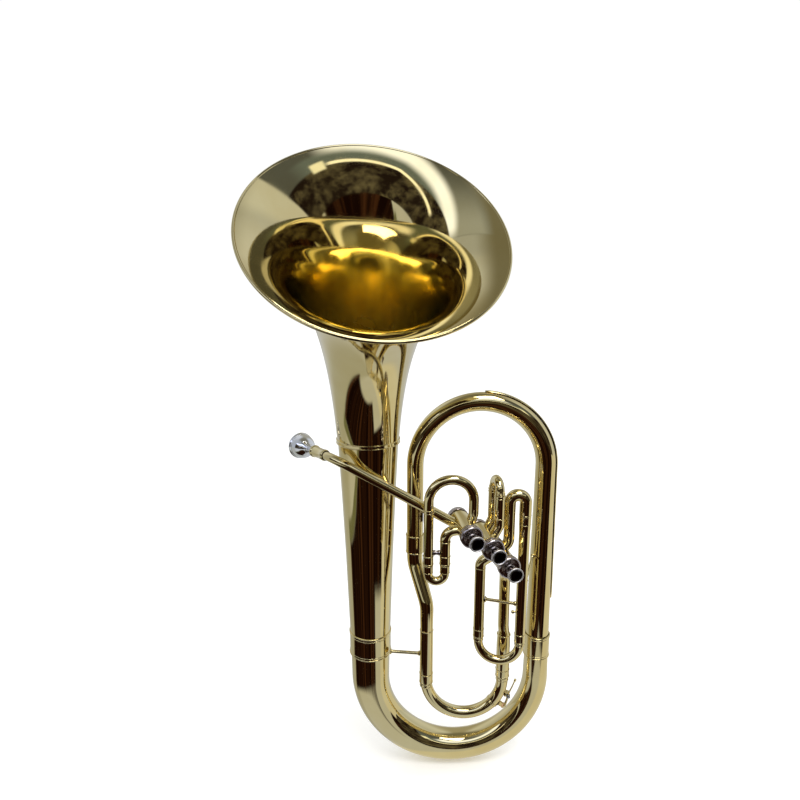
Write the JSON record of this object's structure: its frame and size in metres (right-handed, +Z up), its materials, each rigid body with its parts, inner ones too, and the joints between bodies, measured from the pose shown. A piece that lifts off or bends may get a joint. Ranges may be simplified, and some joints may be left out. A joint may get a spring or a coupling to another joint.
{
  "type": "euphonium",
  "caption": "Bell-front brass euphonium with front-action piston valves, valve slides, a tuning slide with a water key, and a removable mouthpiece.",
  "frame": {"origin": "centre of the bounding box, at the height of the lowest point of the bottom bow", "axes": "+Z up along the bell stem, towards the bell; -Y the way the bell, the valve caps and the finger buttons face; +X towards the outer branch"},
  "size_m": [0.3808, 0.3118, 0.8586],
  "materials": {
    "lacquered_brass": "polished clear-lacquered brass",
    "nickel": "polished nickel plate",
    "silver_plate": "polished silver plate",
    "spring_steel": "drawn wire",
    "felt": "pressed felt",
    "cork": "matt cork"
  },
  "bodies": {
    "frame": {"bell": "lacquered_brass", "bell_brace_lower": "lacquered_brass", "bell_ferrule": "lacquered_brass", "bell_stem": "lacquered_brass", "bottom_bow": "lacquered_brass", "bottom_cap_1": "nickel", "bottom_cap_2": "nickel", "bottom_cap_3": "nickel", "bow_ferrule_large": "lacquered_brass", "bow_ferrule_small": "lacquered_brass", "branch_sleeve": "lacquered_brass", "first_slide_brace": "nickel", "first_slide_lower_tube": "lacquered_brass", "first_slide_upper_tube": "lacquered_brass", "leadpipe": "lacquered_brass", "lyre_box": "nickel", "mouthpiece_receiver": "lacquered_brass", "offset_tube": "lacquered_brass", "second_slide_front_tube": "lacquered_brass", "second_slide_rear_tube": "lacquered_brass", "third_slide_brace": "lacquered_brass", "third_slide_lower_tube": "lacquered_brass", "third_slide_stay": "lacquered_brass", "third_slide_upper_tube": "lacquered_brass", "top_bow_guard": "lacquered_brass", "top_branch": "lacquered_brass", "top_cap_1": "nickel", "top_cap_2": "nickel", "top_cap_3": "nickel", "tuning_sleeve_left": "lacquered_brass", "tuning_sleeve_right": "lacquered_brass", "valve_casing_1": "lacquered_brass", "valve_casing_2": "lacquered_brass", "valve_casing_3": "lacquered_brass", "valve_knuckle_1_2": "lacquered_brass", "valve_knuckle_2_3": "lacquered_brass", "valve_spring_1": "spring_steel", "valve_spring_2": "spring_steel", "valve_spring_3": "spring_steel"},
    "tuning_slide_body": {"tuning_slide": "lacquered_brass", "water_key_nipple": "lacquered_brass", "water_key_saddle": "lacquered_brass", "water_key_pin": "spring_steel", "water_key_spring": "spring_steel"},
    "water_key_body": {"water_key_lever": "lacquered_brass", "water_key_cork": "cork"},
    "first_slide_body": {"first_slide": "lacquered_brass"},
    "second_slide_body": {"second_slide": "lacquered_brass"},
    "third_slide_body": {"third_slide": "lacquered_brass"},
    "mouthpiece_body": {"mouthpiece": "silver_plate"},
    "lyre_screw_body": {"lyre_screw": "nickel"},
    "valve_1_body": {"piston_1": "nickel", "finger_button_1": "nickel", "valve_felt_1": "felt"},
    "valve_2_body": {"piston_2": "nickel", "finger_button_2": "nickel", "valve_felt_2": "felt"},
    "valve_3_body": {"piston_3": "nickel", "finger_button_3": "nickel", "valve_felt_3": "felt"}
  },
  "joints": [
    {"name": "valve_1_press", "type": "slide", "parent": "frame", "child": "valve_1_body", "axis": [-0.1908, 0.9816, 0], "range_m": [0, 0.0104], "stiffness_N_per_m": 150, "springref_m": -0.02, "deforming": ["valve_spring_1"]},
    {"name": "valve_2_press", "type": "slide", "parent": "frame", "child": "valve_2_body", "axis": [-0.1908, 0.9816, 0], "range_m": [0, 0.0104], "stiffness_N_per_m": 150, "springref_m": -0.02, "deforming": ["valve_spring_2"]},
    {"name": "valve_3_press", "type": "slide", "parent": "frame", "child": "valve_3_body", "axis": [-0.1908, 0.9816, 0], "range_m": [0, 0.0104], "stiffness_N_per_m": 150, "springref_m": -0.02, "deforming": ["valve_spring_3"]},
    {"name": "tuning_slide_pull", "type": "slide", "parent": "frame", "child": "tuning_slide_body", "axis": [0, 0, -1], "range_m": [0, 0.038]},
    {"name": "water_key_open", "type": "hinge", "parent": "tuning_slide_body", "child": "water_key_body", "pos_m": [0.12827, 0.08617, 0.12147], "axis": [0, -1, 0], "range_deg": [0, 11], "stiffness_Nm_per_rad": 0.06, "springref_deg": -22.92, "deforming": ["water_key_spring"]},
    {"name": "first_slide_pull", "type": "slide", "parent": "frame", "child": "first_slide_body", "axis": [0, 0, -1], "range_m": [0, 0.02]},
    {"name": "second_slide_pull", "type": "slide", "parent": "frame", "child": "second_slide_body", "axis": [0, 0, 1], "range_m": [0, 0.018]},
    {"name": "third_slide_pull", "type": "slide", "parent": "frame", "child": "third_slide_body", "axis": [0, 0, -1], "range_m": [0, 0.055]},
    {"name": "mouthpiece_pull", "type": "slide", "parent": "frame", "child": "mouthpiece_body", "axis": [-0.5601, 0.8262, -0.06], "range_m": [0, 0.025]},
    {"name": "lyre_screw_turn", "type": "hinge", "parent": "frame", "child": "lyre_screw_body", "pos_m": [0.01028, 0.09917, 0.3858], "axis": [0, -1, 0], "continuous": true}
  ]
}
